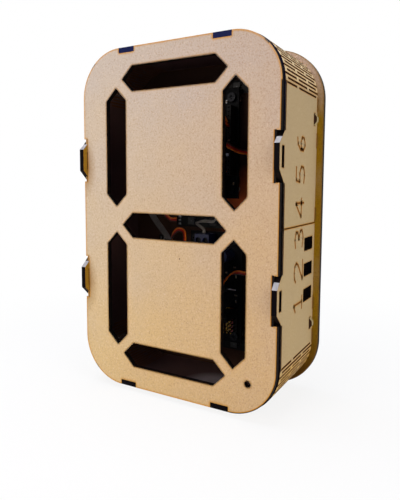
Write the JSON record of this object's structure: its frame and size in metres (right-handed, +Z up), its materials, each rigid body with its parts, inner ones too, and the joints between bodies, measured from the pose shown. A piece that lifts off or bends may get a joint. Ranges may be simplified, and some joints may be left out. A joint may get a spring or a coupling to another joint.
{
  "type": "seven segment display",
  "caption": "Large seven segment display digit: laser-cut fibreboard housing with a living-hinge side wall, bar windows, light strips and boards inside.",
  "frame": {"origin": "on the ground under the middle of the display's bounding box", "axes": "+Z up the digit, +X to the right of someone who reads it, display face towards -Y"},
  "size_m": [0.14, 0.0636, 0.21],
  "materials": {
    "board_face": "laser-cut medium density fibreboard, bare, with scorched edges",
    "board_wall": "laser-cut medium density fibreboard, bare, bent at cut hinges",
    "board_inner": "laser-cut medium density fibreboard, bare, smoke-stained",
    "board_back": "laser-cut medium density fibreboard, bare, with scorched edges",
    "light_strip": "black solder-masked strip board",
    "light_cover": "white moulded light package with a clear filled well",
    "circuit_board": "very dark solder mask on glass-epoxy board",
    "black_plastic": "moulded black plastic",
    "tinned_metal": "tin-plated steel, dull bright",
    "screw_steel": "zinc-plated steel",
    "capacitor_can": "bare aluminium can",
    "capacitor_sleeve": "shrunk dark blue sleeve",
    "blue_plastic": "moulded blue plastic",
    "yellow_plastic": "moulded yellow plastic",
    "red_plastic": "moulded red plastic",
    "gilt_pins": "gilt square pins",
    "spacer_nylon": "natural nylon",
    "lead_wire": "three joined wires with brown, red and orange soft plastic sleeves",
    "grey_wire": "grey four-way ribbon cable",
    "pale_wire": "pale grey twin lead"
  },
  "bodies": {
    "root": {"front_plate": "board_face", "side_wall": "board_wall", "mounting_plate": "board_inner", "back_plate": "board_back", "strip_a": "light_strip", "strip_b": "light_strip", "strip_c": "light_strip", "strip_d": "light_strip", "strip_e": "light_strip", "strip_f": "light_strip", "strip_g": "light_strip", "strip_dot": "light_strip", "lights_a": "light_cover", "lights_b": "light_cover", "lights_c": "light_cover", "lights_d": "light_cover", "lights_e": "light_cover", "lights_f": "light_cover", "lights_g": "light_cover", "light_dot": "light_cover", "controller_board": "circuit_board", "socket_strips": "black_plastic", "controller_chip": "black_plastic", "controller_legs": "tinned_metal", "usb_socket": "tinned_metal", "power_jack": "black_plastic", "board_capacitors": "capacitor_can", "crystal": "tinned_metal", "driver_board": "circuit_board", "driver_chip": "black_plastic", "driver_legs": "tinned_metal", "terminal_block": "blue_plastic", "terminal_screws": "screw_steel", "driver_capacitor": "capacitor_sleeve", "header_signal": "yellow_plastic", "header_power": "red_plastic", "header_ground": "black_plastic", "header_pins": "gilt_pins", "lead_plugs": "black_plastic", "board_spacers": "spacer_nylon", "board_screws": "screw_steel", "board_nuts": "screw_steel", "lead_a": "lead_wire", "lead_b": "lead_wire", "lead_c": "lead_wire", "lead_d": "lead_wire", "lead_e": "lead_wire", "lead_f": "lead_wire", "lead_g": "lead_wire", "lead_dot": "lead_wire", "link_ribbon": "grey_wire", "power_lead": "pale_wire"}
  },
  "joints": []
}
